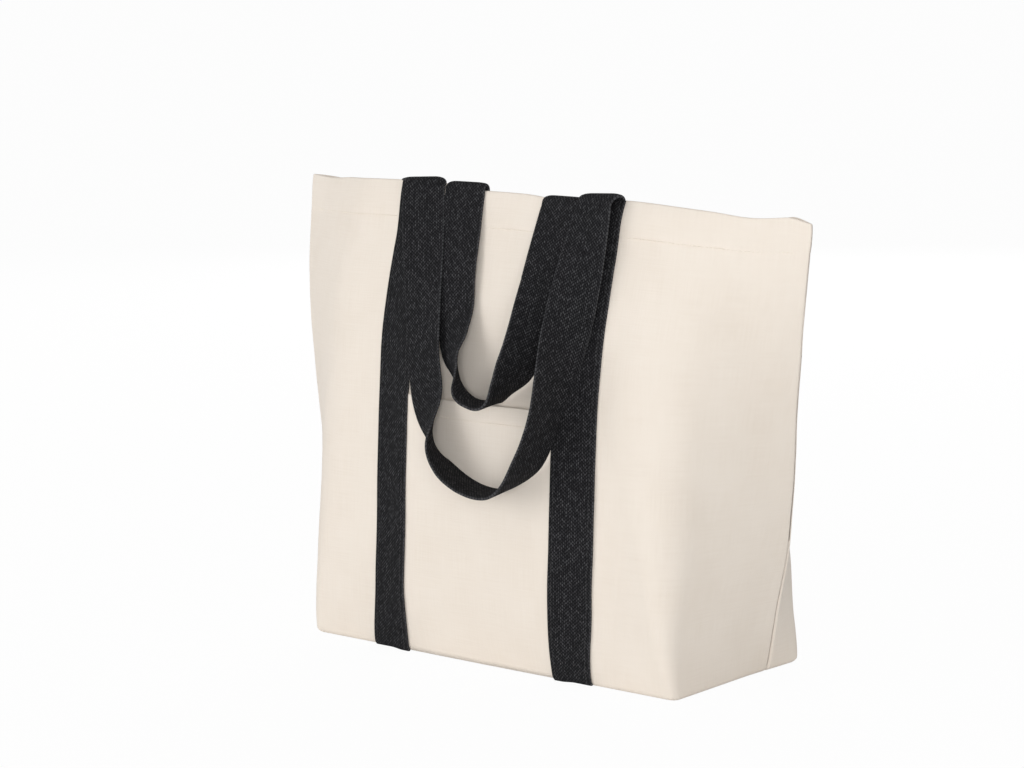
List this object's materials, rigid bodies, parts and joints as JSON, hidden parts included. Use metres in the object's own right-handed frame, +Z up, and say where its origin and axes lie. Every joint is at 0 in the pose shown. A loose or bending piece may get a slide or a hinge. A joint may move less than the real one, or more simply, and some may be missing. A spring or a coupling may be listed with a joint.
{
  "type": "canvas tote bag",
  "caption": "Open-top canvas tote with boxed base, patch pocket between sewn webbing straps, and webbing handles that hang over the front and swing up to carry",
  "frame": {"origin": "Middle of the base, on the surface that the bag stands on", "axes": "+X across the bag to the viewer's right, front with the pocket towards -Y, +Z up"},
  "size_m": [0.5258, 0.2124, 0.3862],
  "materials": {
    "natural_canvas": "undyed plain-weave cotton canvas, matt",
    "black_webbing": "black ribbed cotton webbing, matt",
    "natural_thread": "undyed sewing thread",
    "black_thread": "black sewing thread"
  },
  "bodies": {
    "bag": {"back_hem_stitching": "natural_thread", "back_left_strap": "black_webbing", "back_left_strap_stitching": "black_thread", "back_panel": "natural_canvas", "back_right_strap": "black_webbing", "back_right_strap_stitching": "black_thread", "base_panel": "natural_canvas", "front_hem_stitching": "natural_thread", "front_left_strap": "black_webbing", "front_left_strap_stitching": "black_thread", "front_panel": "natural_canvas", "front_pocket": "natural_canvas", "front_right_strap": "black_webbing", "front_right_strap_stitching": "black_thread", "left_seam_allowance": "natural_canvas", "pocket_stitching": "natural_thread", "right_seam_allowance": "natural_canvas"},
    "front_handle": {"front_handle": "black_webbing", "front_handle_left_fold": "black_webbing", "front_handle_right_fold": "black_webbing"},
    "back_handle_bridge": {"back_handle_left_fold": "black_webbing", "back_handle_right_fold": "black_webbing", "back_handle_left_bridge": "black_webbing", "back_handle_right_bridge": "black_webbing"},
    "back_handle": {"back_handle": "black_webbing", "back_handle_left_crest": "black_webbing", "back_handle_right_crest": "black_webbing"}
  },
  "joints": [
    {"name": "front_handle_swing", "type": "hinge", "parent": "bag", "child": "front_handle", "pos_m": [0, -0.0434, 0.381], "axis": [-1, 0, 0], "range_deg": [0, 160], "deforming": ["front_handle_left_fold", "front_handle_right_fold"]},
    {"name": "back_handle_lift", "type": "hinge", "parent": "bag", "child": "back_handle_bridge", "pos_m": [0, 0.0072, 0.381], "axis": [-1, 0, 0], "range_deg": [0, 80], "deforming": ["back_handle_left_fold", "back_handle_right_fold"]},
    {"name": "back_handle_unfold", "type": "hinge", "parent": "back_handle_bridge", "child": "back_handle", "pos_m": [0, -0.0434, 0.381], "axis": [-1, 0, 0], "range_deg": [0, 80], "deforming": ["back_handle_left_crest", "back_handle_right_crest"]}
  ],
  "couplings": [
    {"joint": "back_handle_unfold", "follows": "back_handle_lift", "ratio": 1}
  ]
}
